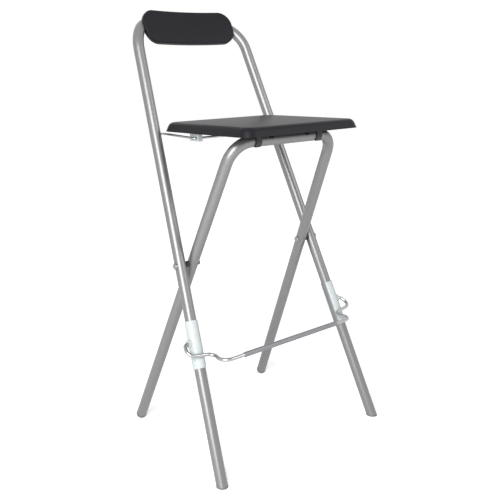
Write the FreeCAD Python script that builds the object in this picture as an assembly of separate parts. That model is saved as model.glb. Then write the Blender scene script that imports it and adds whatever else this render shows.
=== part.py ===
"""Folding bar stool: two tube frames that cross like scissors, with seat, backrest and footrest.

Millimetres, +Z up, front toward -Y. Left is -X and right is +X, seen from the front.
Each piece is built open, as it stands ready for use, and written to its own file.
"""
import FreeCAD
import Part
import math
import os

Vector = FreeCAD.Vector

# Clearances
running_gap = 0.05
hinge_gap = 0.08
bar_seat_gap = 0.2
swing_gap = 0.35

# Round tube of both frames
tube_radius = 12.5
tube_wall = 1.5

# Outer frame: front legs that lean back and join in the backrest's crossbar
outer_foot_x = 238.0
outer_foot_y = -167.5
outer_taper = 0.0915
outer_lean = 0.404
outer_top_z = 972.5
outer_bend_radius = 85.5
crossbar_setback = 43.2
crossbar_knee_x = 67.8
crossbar_knee_radius = 45.0

# Inner frame: rear legs that lean forward and join in the seat's crossbar
inner_foot_x = 201.5
inner_foot_y = 221.5
inner_taper = 0.0835
inner_lean = 0.480
inner_top_z = 708.0
inner_bend_radius = 50.0

# Feet
foot_radius = 12.9
front_pad_height = 3.0
foot_stem_length = 20.0
rear_foot_flat_depth = 1.0

# Scissor pivots
rivet_radius = 4.0
rivet_head_radius = 7.0
rivet_head_height = 3.0
rivet_head_round = 1.6
spacer_radius = 7.0

# Seat panel
seat_half_width = 163.0
seat_front_y = -187.0
seat_rear_y = 119.0
seat_rest_gap = 2.0
seat_height = 19.0
seat_top_inset = 9.0
seat_front_corner_radius = 28.0
seat_rear_corner_radius = 38.0
seat_edge_round = 14.0
seat_wall = 3.4
seat_roof = 4.4
seat_rib_thickness = 2.5
seat_rib_height = 9.5
seat_rib_x = (0.0, 45.0, 110.0)
seat_rib_y = (-150.0, -60.0, 60.0)

# Seat hinge clips on the inner crossbar
hinge_clip_inner_x = 79.0
hinge_clip_width = 15.0
hinge_clip_wall = 2.8
hinge_clip_end_angle = 235.0
hinge_flange_length = 29.0
hinge_flange_half_width = 8.0
hinge_flange_thickness = 2.5
hinge_screw_inset = 12.0

# Small screws under the seat
seat_screw_radius = 1.6
seat_screw_head_radius = 3.6
seat_screw_head_height = 2.2
seat_screw_depth = 3.0

# Bumper pads and their rivets on the inner crossbar
bumper_x = 51.0
bumper_width = 10.0
bumper_thickness = 1.5
bumper_start_angle = 60.0
bumper_end_angle = 168.0
bumper_rivet_angle = 150.0
bumper_rivet_radius = 1.5
bumper_rivet_head_radius = 3.0
bumper_rivet_head_height = 1.1
bumper_rivet_depth = 3.5

# Wire link between seat and outer legs
wire_radius = 2.5
wire_bend_radius = 5.0
wire_pivot_y = 0.0
wire_arm_inset = 10.0
wire_end_length = 8.6
wire_leg_gap = 0.35

# White clips that hold the wire under the seat
wire_clip_width = 11.0
wire_clip_outer_gap = 0.5
wire_clip_front_wall = 3.5
wire_clip_bottom_wall = 4.2
wire_clip_length = 30.0
wire_clip_slot_width = 4.4
wire_clip_screw_inset = 8.0
wire_clip_screw_recess = 8.0

# Footrest
footrest_z = 259.3
footrest_reach = 71.0
footrest_rod_radius = 4.0
footrest_tube_radius = 5.6
footrest_tube_bore_gap = 0.15
footrest_tube_end_round = 0.8
footrest_tube_half_length = 141.0
footrest_corner_inset = 14.0
footrest_crossing_inset = 29.5
footrest_crossing_gap = 0.8
footrest_crank_reach = 34.5
footrest_crank_rise = 8.7
footrest_pivot_z = 284.5
footrest_pin_overhang = 27.5
footrest_pin_depth = 7.0
footrest_front_bend_radius = 19.5
footrest_crank_bend_radius = 15.0
footrest_pin_bend_radius = 12.0

# Plastic sleeves that carry the footrest
sleeve_bottom_z = 231.5
sleeve_top_z = 327.0
sleeve_wall = 1.95
sleeve_end_round = 0.8
sleeve_opening_angle = 76.0
sleeve_boss_radius = 9.0
sleeve_boss_reach = 18.0

# Backrest panel in front of the upper crossbar
back_half_width = 127.5
back_height = 80.0
back_drop = 22.0
back_corner_radius = 34.0
back_centre_depth = 2.0
back_hollow = 9.0
back_thickness = 12.0
back_front_round = 3.0
back_rear_round = 1.5

# Cover behind the upper crossbar, the panel's saddle in front of it, and their screws
cover_half_width = 54.0
cover_height = 47.0
cover_drop = 8.0
cover_corner_radius = 12.0
cover_rear_wall = 3.6
cover_edge_round = 4.0
back_cover_gap = 0.1
back_screw_x = (17.0, 42.0)
back_screw_drop = 22.0
back_screw_radius = 2.0
back_screw_head_radius = 3.5
back_screw_head_height = 2.6
back_screw_recess = 3.2
back_screw_depth = 9.0

# Larger than the whole stool, for cutting tools
beyond = 2000.0

x_axis = Vector(1, 0, 0)


def outer_leg(z):
    """Point on the right outer leg's axis at a height."""
    return Vector(outer_foot_x - outer_taper * z, outer_foot_y + outer_lean * z, z)


def inner_leg(z):
    """Point on the right inner leg's axis at a height."""
    return Vector(inner_foot_x - inner_taper * z, inner_foot_y - inner_lean * z, z)


outer_direction = (outer_leg(1) - outer_leg(0)).normalize()
inner_direction = (inner_leg(1) - inner_leg(0)).normalize()

# Directions along and square to the plane of the outer legs
slope_angle = math.atan(outer_lean)
up_slope = Vector(0, math.sin(slope_angle), math.cos(slope_angle))
forward = Vector(0, -math.cos(slope_angle), math.sin(slope_angle))

# Scissor pivot: where both pairs of legs have the same Y and Z
pivot_z = (inner_foot_y - outer_foot_y) / (outer_lean + inner_lean)
pivot_y = outer_leg(pivot_z).y

# Seat hinge: the inner crossbar's axis
hinge_y = inner_leg(inner_top_z).y
hinge_z = inner_top_z

# The wire's ends lie on the outer legs' axes, as far from the pivot as the seat hinge
link_radius = math.hypot(hinge_y - pivot_y, hinge_z - pivot_z)
wire_end_y = pivot_y + link_radius * up_slope.y
wire_end_z = pivot_z + link_radius * up_slope.z

# The wire's cross run lies on the straight line from seat hinge to wire end
wire_pivot_share = (wire_pivot_y - hinge_y) / (wire_end_y - hinge_y)
wire_pivot_z = hinge_z + (wire_end_z - hinge_z) * wire_pivot_share

seat_bottom_z = hinge_z + tube_radius + seat_rest_gap
seat_top_z = seat_bottom_z + seat_height
seat_cavity_top_z = seat_top_z - seat_roof

# Sideways distance from an outer leg's axis to the face of its slanted tube
outer_face_reach = tube_radius / math.hypot(outer_direction.y, outer_direction.z)

# The wire's arms start under the seat's sides and end beside the outer legs
wire_arm_x = seat_half_width - wire_arm_inset
wire_tip_x = outer_leg(wire_end_z).x - outer_face_reach - wire_leg_gap

footrest_pivot_y = outer_leg(footrest_pivot_z).y
sleeve_bore = tube_radius + running_gap
sleeve_radius = sleeve_bore + sleeve_wall


def x_cylinder(radius, x_from, x_to, y, z):
    """Round bar along X."""
    return Part.makeCylinder(radius, x_to - x_from, Vector(x_from, y, z), x_axis)


def leg_cylinder(leg, direction, radius, z_from, z_to):
    """Round bar along a leg's axis, between two heights on that axis."""
    start = leg(z_from)
    length = (leg(z_to) - start).Length
    return Part.makeCylinder(radius, length, start, direction)


def layer(z_from, z_to):
    """Everything between two heights."""
    return Part.makeBox(2 * beyond, 2 * beyond, z_to - z_from, Vector(-beyond, -beyond, z_from))


def box(x_from, x_to, y_from, y_to, z_from, z_to):
    """Block between corner values."""
    return Part.makeBox(x_to - x_from, y_to - y_from, z_to - z_from, Vector(x_from, y_from, z_from))


def mirrored(shape):
    """The same piece on the left side."""
    return shape.mirror(Vector(0, 0, 0), x_axis)


def both_sides(shape):
    """A right piece and its mirror image, as separate solids of one group."""
    return Part.makeCompound([shape, mirrored(shape)])


def corner_reach(before, corner, after, radius):
    """How far from a corner its rounding starts."""
    half_angle = (before - corner).getAngle(after - corner) / 2
    return radius / math.tan(half_angle)


def rounded_path(points, radii):
    """Straight runs through the points, with a tangent arc at each inner point."""
    edges = []
    start = points[0]
    for before, corner, after, radius in zip(points, points[1:], points[2:], radii):
        reach = corner_reach(before, corner, after, radius)
        to_before = (before - corner).normalize()
        to_after = (after - corner).normalize()
        half_angle = to_before.getAngle(to_after) / 2
        bisector = (to_before + to_after).normalize()
        arc_start = corner + to_before * reach
        arc_middle = corner + bisector * (radius / math.sin(half_angle) - radius)
        arc_end = corner + to_after * reach
        edges.append(Part.LineSegment(start, arc_start).toShape())
        edges.append(Part.Arc(arc_start, arc_middle, arc_end).toShape())
        start = arc_end
    edges.append(Part.LineSegment(start, points[-1]).toShape())
    return Part.Wire(edges)


def rod(path, radius):
    """Round bar bent along a path."""
    first = path.Edges[0]
    direction = first.tangentAt(first.FirstParameter)
    circle = Part.Wire(Part.makeCircle(radius, first.Vertexes[0].Point, direction))
    bar = path.makePipeShell([circle], True, False)
    expected = math.pi * radius ** 2 * path.Length
    print("bar volume against section times length:", round(bar.Volume / expected, 5))
    return bar


def with_mirror_points(points):
    """A path's points from left to right, from those of its right half."""
    left = [Vector(-point.x, point.y, point.z) for point in reversed(points)]
    return left + points


def rounded_rectangle(half_width, y_from, y_to, front_radius, rear_radius, z):
    """Closed outline in a level plane."""
    front_turn = front_radius * (1 - math.sqrt(0.5))
    rear_turn = rear_radius * (1 - math.sqrt(0.5))
    corners = []
    for side in (1, -1):
        edge_x = side * half_width
        rear = [
            Vector(edge_x - side * rear_radius, y_to, z),
            Vector(edge_x - side * rear_turn, y_to - rear_turn, z),
            Vector(edge_x, y_to - rear_radius, z),
        ]
        front = [
            Vector(edge_x, y_from + front_radius, z),
            Vector(edge_x - side * front_turn, y_from + front_turn, z),
            Vector(edge_x - side * front_radius, y_from, z),
        ]
        corners.append((rear, front))
    (right_rear, right_front), (left_rear, left_front) = corners
    edges = [
        Part.Arc(*right_rear).toShape(),
        Part.LineSegment(right_rear[2], right_front[0]).toShape(),
        Part.Arc(*right_front).toShape(),
        Part.LineSegment(right_front[2], left_front[2]).toShape(),
        Part.Arc(*reversed(left_front)).toShape(),
        Part.LineSegment(left_front[0], left_rear[2]).toShape(),
        Part.Arc(*reversed(left_rear)).toShape(),
        Part.LineSegment(left_rear[0], right_rear[0]).toShape(),
    ]
    return Part.Wire(edges)


def on_back(x, along, depth):
    """Point by the backrest: along the slope and forward from the upper crossbar's corners."""
    corner = outer_leg(outer_top_z)
    return Vector(x, corner.y, corner.z) + up_slope * along + forward * depth


def outer_path():
    """Axis of the outer frame's tube, from foot to foot."""
    knee = on_back(crossbar_knee_x, 0, -crossbar_setback)
    points = with_mirror_points([knee, outer_leg(outer_top_z), outer_leg(-2 * tube_radius)])
    bends = [outer_bend_radius, crossbar_knee_radius, crossbar_knee_radius, outer_bend_radius]
    return rounded_path(points, bends)


def inner_path():
    """Axis of the inner frame's tube, from foot to foot."""
    points = with_mirror_points([inner_leg(inner_top_z), rear_foot_centre])
    return rounded_path(points, [inner_bend_radius, inner_bend_radius])


# The rear foot's dome is centred on the leg's axis, with its flat on the floor
rear_foot_centre = inner_leg(foot_radius - rear_foot_flat_depth)
outer_bar_path = outer_path()
inner_bar_path = inner_path()


def pivot_hole():
    """Clears a scissor rivet's shaft right through both legs of one side."""
    leg_x = outer_leg(pivot_z).x
    return x_cylinder(rivet_radius + running_gap, 0, 2 * leg_x, pivot_y, pivot_z)


def back_frame_tube():
    """Outer frame: one bent tube from front foot to front foot over the backrest."""
    tube = rod(outer_bar_path, tube_radius)
    tube = tube.cut(rod(outer_bar_path, tube_radius - tube_wall))
    tube = tube.cut(layer(-beyond, front_pad_height))
    footrest_hole = x_cylinder(
        footrest_rod_radius + running_gap,
        outer_leg(footrest_pivot_z).x,
        2 * outer_foot_x,
        footrest_pivot_y,
        footrest_pivot_z,
    )
    wire_hole = x_cylinder(
        wire_radius + bar_seat_gap, wire_tip_x, outer_leg(wire_end_z).x, wire_end_y, wire_end_z
    )
    for hole in (pivot_hole(), footrest_hole, wire_hole):
        tube = tube.cut(hole)
        tube = tube.cut(mirrored(hole))
    return tube


def rear_leg_frame_tube():
    """Inner frame: one bent tube from rear foot to rear foot under the seat."""
    tube = rod(inner_bar_path, tube_radius)
    tube = tube.cut(rod(inner_bar_path, tube_radius - tube_wall))
    tube = tube.cut(pivot_hole())
    tube = tube.cut(mirrored(pivot_hole()))
    for hole in (bumper_rivet_shaft(running_gap), mirrored(bumper_rivet_shaft(running_gap))):
        tube = tube.cut(hole)
    return tube


def front_foot():
    """Flat plug that closes a front leg and lies flat on the floor."""
    pad = leg_cylinder(outer_leg, outer_direction, foot_radius, -foot_radius, foot_radius)
    pad = pad.common(layer(0, front_pad_height))
    stem_radius = tube_radius - tube_wall - running_gap
    stem_top = front_pad_height + foot_stem_length
    stem = leg_cylinder(outer_leg, outer_direction, stem_radius, -foot_radius, stem_top)
    stem = stem.common(layer(0, beyond))
    return pad.fuse(stem).removeSplitter()


def rear_foot():
    """Domed plug that closes a rear leg, with a small flat on the floor."""
    dome = Part.makeSphere(foot_radius, rear_foot_centre)
    above_end = Part.makeCylinder(2 * foot_radius, 2 * foot_radius, rear_foot_centre, inner_direction)
    dome = dome.cut(above_end).common(layer(0, beyond))
    stem_radius = tube_radius - tube_wall - running_gap
    stem_start = rear_foot_centre - inner_direction
    stem = Part.makeCylinder(stem_radius, foot_stem_length, stem_start, inner_direction)
    return dome.fuse(stem).removeSplitter()


def pivot_rivet():
    """Scissor rivet through both legs of the right side, with its two heads."""
    outer_leg_x = outer_leg(pivot_z).x
    outer_face_x = outer_leg_x + outer_face_reach
    head_end = outer_face_x + rivet_head_height
    outer_head = x_cylinder(rivet_head_radius, outer_leg_x, head_end, pivot_y, pivot_z)
    end_edges = [edge for edge in outer_head.Edges if edge.BoundBox.XMin > head_end - running_gap]
    outer_head = outer_head.makeFillet(rivet_head_round, end_edges)
    leg_height = 3 * rivet_head_radius
    leg = leg_cylinder(
        outer_leg, outer_direction, tube_radius, pivot_z - leg_height, pivot_z + leg_height
    )
    outer_head = outer_head.cut(leg)
    inner_face_x = inner_leg(pivot_z).x - tube_radius
    inner_head_x = inner_face_x - rivet_head_radius * inner_taper - swing_gap
    inner_head = x_cylinder(
        rivet_head_radius, inner_head_x - rivet_head_height, inner_head_x, pivot_y, pivot_z
    )
    end_edges = [
        edge
        for edge in inner_head.Edges
        if edge.BoundBox.XMax < inner_head_x - rivet_head_height + running_gap
    ]
    inner_head = inner_head.makeFillet(rivet_head_round, end_edges)
    shaft = x_cylinder(
        rivet_radius, inner_head_x - running_gap, outer_face_x + rivet_head_round, pivot_y, pivot_z
    )
    return outer_head.fuse([inner_head, shaft]).removeSplitter()


def pivot_spacer():
    """Washer between the two legs of the right side."""
    inner_face_x = inner_leg(pivot_z).x + tube_radius
    outer_face_x = outer_leg(pivot_z).x - tube_radius
    x_from = inner_face_x + spacer_radius * inner_taper + swing_gap
    x_to = outer_face_x - spacer_radius * outer_taper - running_gap
    ring = x_cylinder(spacer_radius, x_from, x_to, pivot_y, pivot_z)
    return ring.cut(pivot_hole())


def seat_loft(side_wall, z_from, z_to):
    """Solid with the seat's sloping sides, inset by a wall, between two heights."""
    outlines = []
    for z in (z_from, z_to):
        inset = side_wall + seat_top_inset * (z - seat_bottom_z) / seat_height
        outline = rounded_rectangle(
            seat_half_width - inset,
            seat_front_y + inset,
            seat_rear_y - inset,
            seat_front_corner_radius - inset,
            seat_rear_corner_radius - inset,
            z,
        )
        outlines.append(outline)
    return Part.makeLoft(outlines, True, True)


def seat_panel():
    """Moulded seat: a roof with sloping sides, open below, with stiffening ribs."""
    block = seat_loft(0, seat_bottom_z, seat_top_z)
    top_edges = [edge for edge in block.Edges if edge.BoundBox.ZMin > seat_top_z - running_gap]
    rounded = block.makeFillet(seat_edge_round, top_edges)
    seat = rounded.cut(seat_loft(seat_wall, seat_bottom_z, seat_cavity_top_z))
    rib_bottom = seat_cavity_top_z - seat_rib_height
    rib_top = seat_cavity_top_z + seat_roof / 2
    rib_space = seat_loft(seat_wall / 2, rib_bottom, rib_top)
    half_rib = seat_rib_thickness / 2
    ribs = []
    for rib_x in seat_rib_x:
        for x in {rib_x, -rib_x}:
            ribs.append(box(x - half_rib, x + half_rib, -beyond, beyond, rib_bottom, rib_top))
    for y in seat_rib_y:
        ribs.append(box(-beyond, beyond, y - half_rib, y + half_rib, rib_bottom, rib_top))
    seat = seat.fuse([rib.common(rib_space) for rib in ribs]).removeSplitter()
    for screw_hole in (hinge_screw(running_gap), wire_clip_screw(running_gap)):
        seat = seat.cut(screw_hole)
        seat = seat.cut(mirrored(screw_hole))
    return seat


def seat_screw(x, y, head_z, gap):
    """Screw from below into the seat's roof, larger all over by a gap."""
    shaft_top = seat_cavity_top_z + seat_screw_depth + gap
    shaft_length = shaft_top - head_z
    shaft = Part.makeCylinder(seat_screw_radius + gap, shaft_length, Vector(x, y, head_z))
    head_bottom = Vector(x, y, head_z - seat_screw_head_height)
    head = Part.makeCylinder(seat_screw_head_radius + gap, seat_screw_head_height, head_bottom)
    return shaft.fuse(head).removeSplitter()


def ring_sector(inner_radius, outer_radius, angle_from, angle_to, x_from, x_to):
    """Part of a ring about the seat hinge: 0 degrees is rearward and 90 degrees is up."""

    def at(radius, angle):
        turn = math.radians(angle)
        return Vector(x_from, hinge_y + radius * math.cos(turn), hinge_z + radius * math.sin(turn))

    middle = (angle_from + angle_to) / 2
    outline = Part.Wire([
        Part.Arc(
            at(inner_radius, angle_from), at(inner_radius, middle), at(inner_radius, angle_to)
        ).toShape(),
        Part.LineSegment(at(inner_radius, angle_to), at(outer_radius, angle_to)).toShape(),
        Part.Arc(
            at(outer_radius, angle_to), at(outer_radius, middle), at(outer_radius, angle_from)
        ).toShape(),
        Part.LineSegment(at(outer_radius, angle_from), at(inner_radius, angle_from)).toShape(),
    ])
    return Part.Face(outline).extrude(x_axis * (x_to - x_from))


def hinge_screw(gap):
    """Screw of the right seat hinge clip, larger all over by a gap."""
    x = hinge_clip_inner_x - hinge_flange_length + hinge_screw_inset
    head_z = seat_cavity_top_z - hinge_flange_thickness
    return seat_screw(x, hinge_y, head_z, gap)


def seat_hinge_clip():
    """Right clip that hangs the seat on the inner crossbar and turns on it."""
    outer_x = hinge_clip_inner_x + hinge_clip_width
    bore = tube_radius + hinge_gap
    ring_radius = bore + hinge_clip_wall
    block = box(
        hinge_clip_inner_x,
        outer_x,
        hinge_y - ring_radius,
        hinge_y + ring_radius,
        hinge_z,
        seat_cavity_top_z,
    )
    block = block.cut(x_cylinder(bore, 0, 2 * outer_x, hinge_y, hinge_z))
    hook = ring_sector(bore, ring_radius, 180, hinge_clip_end_angle, hinge_clip_inner_x, outer_x)
    flange = box(
        hinge_clip_inner_x - hinge_flange_length,
        hinge_clip_inner_x,
        hinge_y - hinge_flange_half_width,
        hinge_y + hinge_flange_half_width,
        seat_cavity_top_z - hinge_flange_thickness,
        seat_cavity_top_z,
    )
    clip = block.fuse([hook, flange]).removeSplitter()
    return clip.cut(hinge_screw(running_gap))


def bumper_direction():
    """Outward direction of the bumper's rivet."""
    turn = math.radians(bumper_rivet_angle)
    return Vector(0, math.cos(turn), math.sin(turn))


def bumper_rivet_shaft(gap):
    """Shaft of the right bumper's rivet, wider by a gap."""
    axis_point = Vector(bumper_x, hinge_y, hinge_z)
    start = axis_point + bumper_direction() * (tube_radius - bumper_rivet_depth)
    length = bumper_rivet_depth + bumper_thickness
    return Part.makeCylinder(bumper_rivet_radius + gap, length, start, bumper_direction())


def bumper_rivet():
    """Rivet that holds the right bumper pad."""
    axis_point = Vector(bumper_x, hinge_y, hinge_z)
    head_start = axis_point + bumper_direction() * (tube_radius + bumper_thickness - running_gap)
    head = Part.makeCylinder(
        bumper_rivet_head_radius, bumper_rivet_head_height, head_start, bumper_direction()
    )
    return head.fuse(bumper_rivet_shaft(0)).removeSplitter()


def crossbar_bumper():
    """Right pad on the crossbar that keeps the seat off the metal."""
    half_width = bumper_width / 2
    pad = ring_sector(
        tube_radius,
        tube_radius + bumper_thickness,
        bumper_start_angle,
        bumper_end_angle,
        bumper_x - half_width,
        bumper_x + half_width,
    )
    return pad.cut(bumper_rivet()).cut(bumper_rivet_shaft(running_gap))


def seat_link_wire():
    """Bent wire: its cross run turns in the seat's clips and its ends point at the outer legs."""
    right_half = [
        Vector(wire_arm_x, wire_pivot_y, wire_pivot_z),
        Vector(wire_tip_x - wire_end_length, wire_end_y, wire_end_z),
        Vector(wire_tip_x, wire_end_y, wire_end_z),
    ]
    return rod(rounded_path(with_mirror_points(right_half), [wire_bend_radius] * 4), wire_radius)


def wire_clip_rear_y():
    """Rear face of the clips that hold the wire."""
    return wire_clip_front_y() + wire_clip_length


def wire_clip_front_y():
    """Front face of the clips that hold the wire."""
    return wire_pivot_y - wire_radius - running_gap - wire_clip_front_wall


def wire_clip_screw(gap):
    """Screw of the right wire clip, larger all over by a gap."""
    x = (wire_clip_inner_x() + wire_clip_outer_x()) / 2
    y = wire_clip_rear_y() - wire_clip_screw_inset
    return seat_screw(x, y, wire_clip_bottom_z() + wire_clip_screw_recess, gap)


def wire_clip_outer_x():
    """Outer face of the right wire clip, just inboard of the wire's bend."""
    return wire_arm_x - wire_bend_radius - wire_clip_outer_gap


def wire_clip_inner_x():
    """Inner face of the right wire clip."""
    return wire_clip_outer_x() - wire_clip_width


def wire_clip_bottom_z():
    """Lowest level of the wire clips."""
    return wire_pivot_z - wire_radius - running_gap - wire_clip_bottom_wall


def wire_clip():
    """Right clip under the seat in which the wire's cross run turns."""
    outer_x = wire_clip_outer_x()
    bottom_z = wire_clip_bottom_z()
    block = box(
        wire_clip_inner_x(),
        outer_x,
        wire_clip_front_y(),
        wire_clip_rear_y(),
        bottom_z,
        seat_cavity_top_z,
    )
    bore = x_cylinder(wire_radius + running_gap, 0, 2 * outer_x, wire_pivot_y, wire_pivot_z)
    half_slot = wire_clip_slot_width / 2
    slot = box(
        0, 2 * outer_x, wire_pivot_y - half_slot, wire_pivot_y + half_slot, 0, wire_pivot_z
    )
    screw_y = wire_clip_rear_y() - wire_clip_screw_inset
    recess = Part.makeCylinder(
        seat_screw_head_radius + bar_seat_gap,
        wire_clip_screw_recess,
        Vector((wire_clip_inner_x() + outer_x) / 2, screw_y, bottom_z),
    )
    for space in (bore, slot, recess, wire_clip_screw(running_gap)):
        block = block.cut(space)
    return block


def footrest_path():
    """Axis of the footrest's rod, from the left sleeve's boss to the right one's."""
    bar_y = outer_leg(footrest_z).y - footrest_reach
    leg_x = outer_leg(footrest_z).x
    crossing_distance = sleeve_radius + footrest_rod_radius + footrest_crossing_gap
    crossing_offset = crossing_distance / math.cos(slope_angle)
    crank_z = footrest_z + footrest_crank_rise
    pivot_leg_x = outer_leg(footrest_pivot_z).x
    pin_x = pivot_leg_x + tube_radius
    right_half = [
        Vector(leg_x - footrest_corner_inset, bar_y, footrest_z),
        Vector(leg_x - footrest_crossing_inset, outer_leg(footrest_z).y - crossing_offset, footrest_z),
        Vector(leg_x + footrest_crank_reach, outer_leg(crank_z).y - crossing_offset, crank_z),
        Vector(pivot_leg_x + footrest_pin_overhang, footrest_pivot_y, footrest_pivot_z),
        Vector(pin_x - footrest_pin_depth, footrest_pivot_y, footrest_pivot_z),
    ]
    bends = [
        footrest_front_bend_radius,
        footrest_crank_bend_radius,
        footrest_crank_bend_radius,
        footrest_pin_bend_radius,
    ]
    return rounded_path(with_mirror_points(right_half), list(reversed(bends)) + bends)


def footrest_tube():
    """Tube around the middle of the footrest's rod."""
    y = outer_leg(footrest_z).y - footrest_reach
    half = footrest_tube_half_length
    tube = x_cylinder(footrest_tube_radius, -half, half, y, footrest_z)
    tube = tube.makeFillet(footrest_tube_end_round, [edge for edge in tube.Edges if edge.Closed])
    bore = footrest_rod_radius + footrest_tube_bore_gap
    return tube.cut(x_cylinder(bore, -half, half, y, footrest_z))


def sleeve_opening():
    """Space of the gap along the right sleeve's inner side, where it snaps over the leg."""
    half_width = sleeve_radius * math.sin(math.radians(sleeve_opening_angle / 2))
    length = 2 * (sleeve_top_z - sleeve_bottom_z)
    opening = Part.makeBox(
        2 * sleeve_radius, 2 * half_width, length, Vector(-2 * sleeve_radius, -half_width, -length / 4)
    )
    turn = FreeCAD.Rotation(Vector(0, 0, 1), outer_direction)
    opening.Placement = FreeCAD.Placement(outer_leg(sleeve_bottom_z), turn) * opening.Placement
    return opening


def footrest_sleeve():
    """Right plastic sleeve on the outer leg, with the boss in which the footrest turns."""
    sleeve = leg_cylinder(outer_leg, outer_direction, sleeve_radius, sleeve_bottom_z, sleeve_top_z)
    rims = [edge for edge in sleeve.Edges if edge.Closed]
    sleeve = sleeve.makeFillet(sleeve_end_round, rims)
    leg_x = outer_leg(footrest_pivot_z).x
    boss = x_cylinder(
        sleeve_boss_radius, leg_x, leg_x + sleeve_boss_reach, footrest_pivot_y, footrest_pivot_z
    )
    pin_hole = x_cylinder(
        footrest_rod_radius + running_gap,
        leg_x,
        leg_x + 2 * sleeve_boss_reach,
        footrest_pivot_y,
        footrest_pivot_z,
    )
    bore = leg_cylinder(outer_leg, outer_direction, sleeve_bore, 0, 2 * sleeve_top_z)
    sleeve = sleeve.fuse(boss).removeSplitter()
    return sleeve.cut(pin_hole).cut(bore).cut(sleeve_opening())


def back_slab(front_depth, rear_depth, half_width, height, drop, corner_radius):
    """Flat slab with rounded corners, square to the slope between two depths."""
    outline = rounded_rectangle(
        half_width, -height / 2, height / 2, corner_radius, corner_radius, 0
    )
    slab = Part.Face(outline).extrude(Vector(0, 0, front_depth - rear_depth))
    turn = FreeCAD.Rotation(x_axis, math.degrees(math.pi / 2 - slope_angle))
    slab.Placement = FreeCAD.Placement(on_back(0, -drop, rear_depth), turn)
    return slab


def bow_edges(shape, side):
    """Edges of the panel's bowed front face (side 1) or rear face (side -1)."""
    cylinders = [
        face
        for face in shape.Faces
        if isinstance(face.Surface, Part.Cylinder) and abs(face.Surface.Axis.dot(up_slope)) > 0.99
    ]
    cylinders.sort(key=lambda face: face.CenterOfMass.dot(forward))
    return cylinders[-1].Edges if side > 0 else cylinders[0].Edges


def backrest_panel():
    """Hollowed panel in front of the upper crossbar, with a saddle that rests on the tube."""
    bow_radius = (back_half_width ** 2 + back_hollow ** 2) / (2 * back_hollow)
    reach = back_half_width + back_corner_radius
    bow_rise = bow_radius - math.sqrt(bow_radius ** 2 - reach ** 2)
    rear_depth = -back_centre_depth - back_thickness
    low = -back_drop - back_height
    front = [
        on_back(-reach, low, bow_rise - back_centre_depth),
        on_back(0, low, -back_centre_depth),
        on_back(reach, low, bow_rise - back_centre_depth),
    ]
    rear = [
        on_back(reach, low, bow_rise + rear_depth),
        on_back(0, low, rear_depth),
        on_back(-reach, low, bow_rise + rear_depth),
    ]
    section = Part.Wire([
        Part.Arc(*front).toShape(),
        Part.LineSegment(front[2], rear[0]).toShape(),
        Part.Arc(*rear).toShape(),
        Part.LineSegment(rear[2], front[0]).toShape(),
    ])
    panel = Part.Face(section).extrude(up_slope * (2 * back_height))
    panel = panel.common(
        back_slab(beyond, -beyond, back_half_width, back_height, back_drop, back_corner_radius)
    )
    panel = panel.makeFillet(back_front_round, bow_edges(panel, 1))
    panel = panel.makeFillet(back_rear_round, bow_edges(panel, -1))
    saddle = back_slab(
        rear_depth + back_thickness / 2,
        back_cover_gap / 2 - crossbar_setback,
        cover_half_width,
        cover_height,
        cover_drop,
        cover_corner_radius,
    )
    panel = panel.fuse(saddle).removeSplitter()
    panel = panel.cut(rod(outer_bar_path, tube_radius + bar_seat_gap))
    for hole in back_screw_set(running_gap):
        panel = panel.cut(hole)
    return panel


def cover_rear_depth():
    """Depth of the cover's flat rear face."""
    return -crossbar_setback - tube_radius - bar_seat_gap - cover_rear_wall


def backrest_rear_cover():
    """Cover that clamps the upper crossbar to the panel's saddle."""
    cover = back_slab(
        -back_cover_gap / 2 - crossbar_setback,
        cover_rear_depth(),
        cover_half_width,
        cover_height,
        cover_drop,
        cover_corner_radius,
    )
    rear_face = min(cover.Faces, key=lambda face: face.CenterOfMass.dot(forward))
    cover = cover.makeFillet(cover_edge_round, rear_face.Edges)
    cover = cover.cut(rod(outer_bar_path, tube_radius + bar_seat_gap))
    for space in back_screw_set(running_gap) + back_screw_recesses():
        cover = cover.cut(space)
    return cover


def back_screw_seats():
    """Points on which the heads of the four backrest screws rest."""
    right_seats = [
        on_back(x, -back_screw_drop, cover_rear_depth() + back_screw_recess) for x in back_screw_x
    ]
    return with_mirror_points(right_seats)


def back_screw_set(gap):
    """The four screws that pull cover and panel together round the crossbar."""
    end_depth = back_screw_depth - crossbar_setback
    length = end_depth + gap - cover_rear_depth() - back_screw_recess
    screws = []
    for seat in back_screw_seats():
        shaft = Part.makeCylinder(back_screw_radius + gap, length, seat, forward)
        head_start = seat - forward * back_screw_head_height
        head = Part.makeCylinder(
            back_screw_head_radius + gap, back_screw_head_height, head_start, forward
        )
        screws.append(shaft.fuse(head).removeSplitter())
    return screws


def back_screw_recesses():
    """Round recesses in the cover for the screw heads."""
    radius = back_screw_head_radius + bar_seat_gap
    return [
        Part.makeCylinder(radius, 2 * back_thickness, seat, -forward)
        for seat in back_screw_seats()
    ]


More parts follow.
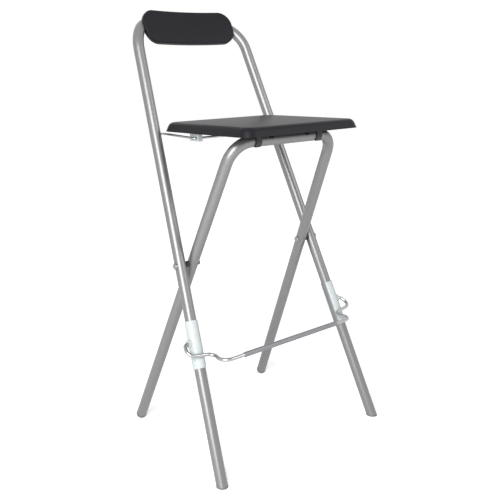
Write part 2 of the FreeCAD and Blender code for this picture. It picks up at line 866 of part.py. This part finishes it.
def build():
    """All pieces by node name."""
    right_pieces = {
        "pivot_rivet": pivot_rivet(),
        "pivot_spacer": pivot_spacer(),
        "footrest_sleeve": footrest_sleeve(),
        "front_foot": front_foot(),
        "rear_foot": rear_foot(),
        "seat_hinge_clip": seat_hinge_clip(),
        "wire_clip": wire_clip(),
    }
    pieces = {
        "back_frame_tube": back_frame_tube(),
        "backrest_panel": backrest_panel(),
        "backrest_rear_cover": backrest_rear_cover(),
        "backrest_screws": Part.makeCompound(back_screw_set(0)),
        "rear_leg_frame_tube": rear_leg_frame_tube(),
        "crossbar_bumpers": both_sides(crossbar_bumper()),
        "crossbar_bumper_rivets": both_sides(bumper_rivet()),
        "seat_panel": seat_panel(),
        "seat_hinge_screws": both_sides(hinge_screw(0)),
        "wire_clip_screws": both_sides(wire_clip_screw(0)),
        "seat_link_wire": seat_link_wire(),
        "footrest_rod": rod(footrest_path(), footrest_rod_radius),
        "footrest_tube": footrest_tube(),
    }
    for name, shape in right_pieces.items():
        pieces[name + "_right"] = shape
        pieces[name + "_left"] = mirrored(shape)
    return pieces


pieces = build()
whole = Part.makeCompound(list(pieces.values())).optimalBoundingBox(False, False)

# The origin goes under the middle of the stool's depth
depth_shift = -(whole.YMin + whole.YMax) / 2

os.makedirs("parts", exist_ok=True)
for name, shape in pieces.items():
    placed = shape.translated(Vector(0, depth_shift, 0))
    placed.exportStep("parts/" + name + ".step")
    print(name, len(placed.Solids), "solid(s)", round(placed.Volume), "mm3", placed.isValid())
print("size", round(whole.XLength, 1), round(whole.YLength, 1), round(whole.ZLength, 1))
print("depth shift", round(depth_shift, 3))
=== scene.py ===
"""Folding bar stool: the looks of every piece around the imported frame, with light and camera."""

import math

import bpy
from mathutils import Matrix, Vector


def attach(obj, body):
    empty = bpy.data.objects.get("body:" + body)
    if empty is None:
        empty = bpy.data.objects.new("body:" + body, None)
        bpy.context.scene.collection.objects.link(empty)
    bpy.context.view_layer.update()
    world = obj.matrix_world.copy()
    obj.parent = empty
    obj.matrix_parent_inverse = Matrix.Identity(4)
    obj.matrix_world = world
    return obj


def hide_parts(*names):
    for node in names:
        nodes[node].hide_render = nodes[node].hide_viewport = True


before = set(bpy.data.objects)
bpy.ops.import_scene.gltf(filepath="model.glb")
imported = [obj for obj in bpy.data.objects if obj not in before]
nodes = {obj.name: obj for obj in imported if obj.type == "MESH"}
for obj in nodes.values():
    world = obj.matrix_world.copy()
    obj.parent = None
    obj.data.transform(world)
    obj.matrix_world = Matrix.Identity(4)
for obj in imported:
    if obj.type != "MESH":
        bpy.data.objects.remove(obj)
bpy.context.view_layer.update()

# Camera
# The photograph was taken a little above seat height, from the stool's front left corner.
# The place and turn were fitted to the legs, seat and backrest, with the picture centred.
# The fit was made before the part's depth was centred, which the shift makes up for.
cad_depth_shift = -49.078
camera_place_mm = (-1023.1, -1232.0 + cad_depth_shift, 845.7)
camera_azimuth = math.radians(-39.472)
camera_elevation = math.radians(14.174)
camera_roll = math.radians(-1.422)
focal_length_px = 705.80
picture_size_px = 500
sensor_width_mm = 36.0
view_end_m = 50

back = Vector((
    math.sin(camera_azimuth) * math.cos(camera_elevation),
    -math.cos(camera_azimuth) * math.cos(camera_elevation),
    math.sin(camera_elevation),
))
level_right = Vector((math.cos(camera_azimuth), math.sin(camera_azimuth), 0))
level_up = back.cross(level_right)
right = level_right * math.cos(camera_roll) + level_up * math.sin(camera_roll)
up = level_up * math.cos(camera_roll) - level_right * math.sin(camera_roll)
camera_data = bpy.data.cameras.new("camera")
camera_data.sensor_width = sensor_width_mm
camera_data.lens = focal_length_px / picture_size_px * sensor_width_mm
camera_data.clip_end = view_end_m
camera = bpy.data.objects.new("camera", camera_data)
bpy.context.scene.collection.objects.link(camera)
camera.matrix_world = Matrix((
    (right.x, up.x, back.x, camera_place_mm[0] / 1000),
    (right.y, up.y, back.y, camera_place_mm[1] / 1000),
    (right.z, up.z, back.z, camera_place_mm[2] / 1000),
    (0, 0, 0, 1),
))
bpy.context.scene.camera = camera


# Outer and inner frame tubes
# Both frames are bent from 25 mm steel tube and sprayed with silver-grey powder paint.
# The aluminium flake gives a satin sheen, a fine mottle under 1 mm and a shallow orange peel.
def linear(hex_colour):
    """Linear red, green, blue and full alpha of an sRGB hex value."""
    channels = [int(hex_colour[i:i + 2], 16) / 255 for i in (1, 3, 5)]
    return tuple(c / 12.92 if c <= 0.04045 else ((c + 0.055) / 1.055) ** 2.4 for c in channels) + (1.0,)


def add_node(owner, kind, settings=None, links=None):
    """Adds a node with its settings and its input links, and returns it."""
    node = owner.node_tree.nodes.new(kind)
    for name, value in (settings or {}).items():
        if name in node.inputs:
            node.inputs[name].default_value = value
        else:
            setattr(node, name, value)
    for name, output in (links or {}).items():
        owner.node_tree.links.new(output, node.inputs[name])
    return node


def new_material(name, colour, **shader_settings):
    """A named material with its surface shader, both returned."""
    material = bpy.data.materials.new(name)
    material.use_nodes = True
    shader = material.node_tree.nodes["Principled BSDF"]
    shader.inputs["Base Color"].default_value = linear(colour)
    for socket, value in shader_settings.items():
        shader.inputs[socket.replace("_", " ")].default_value = value
    return material, shader


def object_noise(material, spot_mm, detail):
    """Noise whose spots have a real size on the piece."""
    place = add_node(material, "ShaderNodeTexCoord")
    settings = {"Scale": 1000 / spot_mm, "Detail": detail}
    return add_node(material, "ShaderNodeTexNoise", settings, {"Vector": place.outputs["Object"]})


def mottle(material, shader, spot_mm, dark, light, smooth, rough):
    """Colour and roughness that vary in spots of a real size."""
    noise = object_noise(material, spot_mm, detail=3.0)
    colours = add_node(material, "ShaderNodeValToRGB", links={"Fac": noise.outputs["Fac"]})
    ends = ((0.3, dark), (0.7, light))
    for stop, (position, colour) in zip(colours.color_ramp.elements, ends):
        stop.position = position
        stop.color = linear(colour)
    spread = add_node(
        material,
        "ShaderNodeMapRange",
        {"To Min": smooth, "To Max": rough},
        {"Value": noise.outputs["Fac"]},
    )
    material.node_tree.links.new(colours.outputs["Color"], shader.inputs["Base Color"])
    material.node_tree.links.new(spread.outputs["Result"], shader.inputs["Roughness"])


def dent(material, shader, height, depth_mm):
    """Bump of a real depth from a pattern's height."""
    bump = add_node(
        material,
        "ShaderNodeBump",
        {"Strength": 1.0, "Distance": depth_mm / 1000},
        {"Height": height},
    )
    material.node_tree.links.new(bump.outputs["Normal"], shader.inputs["Normal"])


def ripple(material, shader, spot_mm, depth_mm):
    """Soft dents of a real width and depth, such as orange peel or flow marks."""
    dent(material, shader, object_noise(material, spot_mm, detail=2.0).outputs["Fac"], depth_mm)


def finished_copy(node_name, body_name, material):
    """Puts a copy in a carried-over piece's place, its triangles joined and its rounds shaded smooth."""
    join_within_m = 1e-6
    sharpest_round = math.radians(35)
    bpy.ops.object.select_all(action="DESELECT")
    piece = bpy.data.objects.new(node_name + "_finished", nodes[node_name].data.copy())
    bpy.context.scene.collection.objects.link(piece)
    piece.data.materials.clear()
    piece.data.materials.append(material)
    piece.select_set(True)
    bpy.context.view_layer.objects.active = piece
    if piece.data.has_custom_normals:
        bpy.ops.mesh.customdata_custom_splitnormals_clear()
    bpy.ops.object.mode_set(mode="EDIT")
    bpy.ops.mesh.select_all(action="SELECT")
    bpy.ops.mesh.remove_doubles(threshold=join_within_m)
    bpy.ops.object.mode_set(mode="OBJECT")
    bpy.ops.object.shade_smooth_by_angle(angle=sharpest_round)
    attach(piece, body_name)
    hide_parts(node_name)


powder_coat, shader = new_material("silver_powder_coat", "#868687", Metallic=0.6)
mottle(powder_coat, shader, spot_mm=0.9, dark="#818182", light="#8b8b8c", smooth=0.30, rough=0.40)
ripple(powder_coat, shader, spot_mm=2.5, depth_mm=0.03)
finished_copy("back_frame_tube", "outer_frame", powder_coat)
finished_copy("rear_leg_frame_tube", "inner_frame", powder_coat)


# Feet
# Grey polyethylene plugs, moulded smooth and pressed into the tube ends.
# The soft plastic looks waxy and dull, with faint flow marks.
grey_polyethylene, shader = new_material("grey_polyethylene", "#76777a")
mottle(grey_polyethylene, shader, spot_mm=3.0, dark="#707174", light="#7c7d80", smooth=0.5, rough=0.62)
ripple(grey_polyethylene, shader, spot_mm=3.0, depth_mm=0.03)
for side in ("left", "right"):
    finished_copy("front_foot_" + side, "outer_frame", grey_polyethylene)
    finished_copy("rear_foot_" + side, "inner_frame", grey_polyethylene)


# Rivets, screws and washers
# Cold-headed steel with plain zinc plate, and black nylon washers between the legs.
# The thin plate shows as a mid-grey metal with a cloudy gloss, and the nylon as a dull black.
zinc_plate, shader = new_material("zinc_plate", "#929395", Metallic=1.0)
mottle(zinc_plate, shader, spot_mm=1.5, dark="#87888b", light="#9a9b9e", smooth=0.22, rough=0.36)
ripple(zinc_plate, shader, spot_mm=1.5, depth_mm=0.01)
black_nylon, shader = new_material("black_nylon", "#19191b")
mottle(black_nylon, shader, spot_mm=2.0, dark="#151518", light="#1d1d20", smooth=0.35, rough=0.48)
ripple(black_nylon, shader, spot_mm=2.0, depth_mm=0.02)
for side in ("left", "right"):
    finished_copy("pivot_rivet_" + side, "outer_frame", zinc_plate)
    finished_copy("pivot_spacer_" + side, "outer_frame", black_nylon)
finished_copy("backrest_screws", "outer_frame", zinc_plate)
finished_copy("seat_hinge_screws", "seat", zinc_plate)
finished_copy("wire_clip_screws", "seat", zinc_plate)
finished_copy("crossbar_bumper_rivets", "inner_frame", zinc_plate)


# Seat and backrest
# Charcoal polypropylene, injection moulded in a mould with an etched leather grain.
# The grain is a net of fine creases, and the plastic has little gloss.
moulded_charcoal, shader = new_material("grained_polypropylene", "#1a191e", Specular_IOR_Level=0.14)
mottle(moulded_charcoal, shader, spot_mm=2.2, dark="#17161b", light="#1d1c21", smooth=0.36, rough=0.46)
grain_width_mm = 1.6
place = add_node(moulded_charcoal, "ShaderNodeTexCoord")
creases = add_node(
    moulded_charcoal,
    "ShaderNodeTexVoronoi",
    {"Scale": 1000 / grain_width_mm, "feature": "DISTANCE_TO_EDGE"},
    {"Vector": place.outputs["Object"]},
)
dent(moulded_charcoal, shader, creases.outputs["Distance"], depth_mm=0.08)
finished_copy("seat_panel", "seat", moulded_charcoal)
finished_copy("backrest_panel", "outer_frame", moulded_charcoal)
finished_copy("backrest_rear_cover", "outer_frame", moulded_charcoal)


# Seat hinge clips and crossbar pads
# Black nylon like the washers, moulded smooth.
# The clips hook round the inner crossbar and are screwed to the seat, and the pads are riveted on.
for side in ("left", "right"):
    finished_copy("seat_hinge_clip_" + side, "seat", black_nylon)
finished_copy("crossbar_bumpers", "inner_frame", black_nylon)


# Footrest sleeves and wire clips
# Natural white nylon, moulded smooth and left undyed.
# It is slightly translucent, with a cold greenish tint and a soft gloss.
scatter_reach_m = (0.002, 0.002, 0.0015)
white_nylon, shader = new_material(
    "natural_nylon",
    "#cdd4d4",
    Subsurface_Weight=0.15,
    Subsurface_Radius=scatter_reach_m,
)
mottle(white_nylon, shader, spot_mm=6.0, dark="#c8d0d0", light="#d2d9d9", smooth=0.3, rough=0.4)
ripple(white_nylon, shader, spot_mm=6.0, depth_mm=0.02)
for side in ("left", "right"):
    finished_copy("footrest_sleeve_" + side, "outer_frame", white_nylon)
    finished_copy("wire_clip_" + side, "seat", white_nylon)


# Footrest rod and link wire
# Drawn steel rod, bent cold and bright nickel plated.
# The plate mirrors the room, a little softer in some places than in others.
nickel_plate, shader = new_material("nickel_plate", "#a9aaac", Metallic=1.0)
mottle(nickel_plate, shader, spot_mm=5.0, dark="#a2a3a5", light="#b0b1b3", smooth=0.2, rough=0.3)
ripple(nickel_plate, shader, spot_mm=5.0, depth_mm=0.01)
finished_copy("footrest_rod", "footrest", nickel_plate)
finished_copy("seat_link_wire", "link_wire", nickel_plate)


# Footrest tube
# Thin steel tube that turns on the rod, painted a little duller than the frames.
# It is slid on before the rod's ends are bent, so that it can't come off.
satin_grey, shader = new_material("satin_grey_paint", "#87888b", Metallic=0.5)
mottle(satin_grey, shader, spot_mm=0.9, dark="#808184", light="#8e8f92", smooth=0.38, rough=0.5)
ripple(satin_grey, shader, spot_mm=2.5, depth_mm=0.03)
finished_copy("footrest_tube", "footrest", satin_grey)


# Floor, backdrop and light
# Plain white studio: to the camera and in reflections the floor and the room are white.
# A tall soft lamp stands at the front left and a small one at the front right. The floor
# keeps a soft shadow, because it glows less near the stool than further off.
def seen_directly(owner):
    """1 for what the camera, a mirror or clear plastic sees, and 0 for light that falls on things."""
    path = add_node(owner, "ShaderNodeLightPath")
    straight = add_node(
        owner,
        "ShaderNodeMath",
        {"operation": "MAXIMUM"},
        {0: path.outputs["Is Camera Ray"], 1: path.outputs["Is Glossy Ray"]},
    )
    return add_node(
        owner,
        "ShaderNodeMath",
        {"operation": "MAXIMUM"},
        {0: straight.outputs[0], 1: path.outputs["Is Transmission Ray"]},
    )


floor_side_m = 12
near_stool_m = 0.3
open_floor_m = 1.6
glow_near_stool = 0.6
glow_on_open_floor = 0.9
bpy.ops.object.select_all(action="DESELECT")
bpy.ops.mesh.primitive_plane_add(size=floor_side_m, location=(0, 0, 0))
floor = bpy.context.active_object
floor.name = "floor"
floor_white, shader = new_material("floor_white", "#f2f2f2", Roughness=0.9)
place = add_node(floor_white, "ShaderNodeTexCoord")
from_middle = add_node(
    floor_white,
    "ShaderNodeVectorMath",
    {"operation": "LENGTH"},
    {0: place.outputs["Object"]},
)
glow_there = add_node(
    floor_white,
    "ShaderNodeMapRange",
    {
        "From Min": near_stool_m,
        "From Max": open_floor_m,
        "To Min": glow_near_stool,
        "To Max": glow_on_open_floor,
    },
    {"Value": from_middle.outputs["Value"]},
)
glow = add_node(
    floor_white,
    "ShaderNodeMath",
    {"operation": "MULTIPLY"},
    {0: seen_directly(floor_white).outputs[0], 1: glow_there.outputs["Result"]},
)
shader.inputs["Emission Color"].default_value = (1, 1, 1, 1)
floor_white.node_tree.links.new(glow.outputs[0], shader.inputs["Emission Strength"])
floor.data.materials.append(floor_white)

room_light = 0.16
world = bpy.data.worlds.new("studio")
bpy.context.scene.world = world
world.use_nodes = True
backdrop = world.node_tree.nodes["Background"]
backdrop.inputs["Color"].default_value = (1, 1, 1, 1)
room = add_node(
    world,
    "ShaderNodeMapRange",
    {"To Min": room_light, "To Max": 1.0},
    {"Value": seen_directly(world).outputs[0]},
)
world.node_tree.links.new(room.outputs["Result"], backdrop.inputs["Strength"])


def soft_lamp(name, place, target, width, height, power):
    """Rectangular lamp aimed at a point. Places and sizes are in metres, and power is in watts."""
    lamp_data = bpy.data.lights.new(name, "AREA")
    lamp_data.shape = "RECTANGLE"
    lamp_data.size = width
    lamp_data.size_y = height
    lamp_data.energy = power
    lamp = bpy.data.objects.new(name, lamp_data)
    bpy.context.scene.collection.objects.link(lamp)
    aim = (Vector(target) - Vector(place)).to_track_quat("-Z", "Y")
    lamp.matrix_world = Matrix.Translation(place) @ aim.to_matrix().to_4x4()


soft_lamp("key_lamp", place=(-2.15, -1.5, 1.75), target=(0, 0, 0.8), width=1.6, height=2.5, power=98)
soft_lamp("fill_lamp", place=(1.6, -2.2, 2.1), target=(0, 0, 0.5), width=1.2, height=1.2, power=17)
bpy.context.scene.view_settings.view_transform = "Standard"
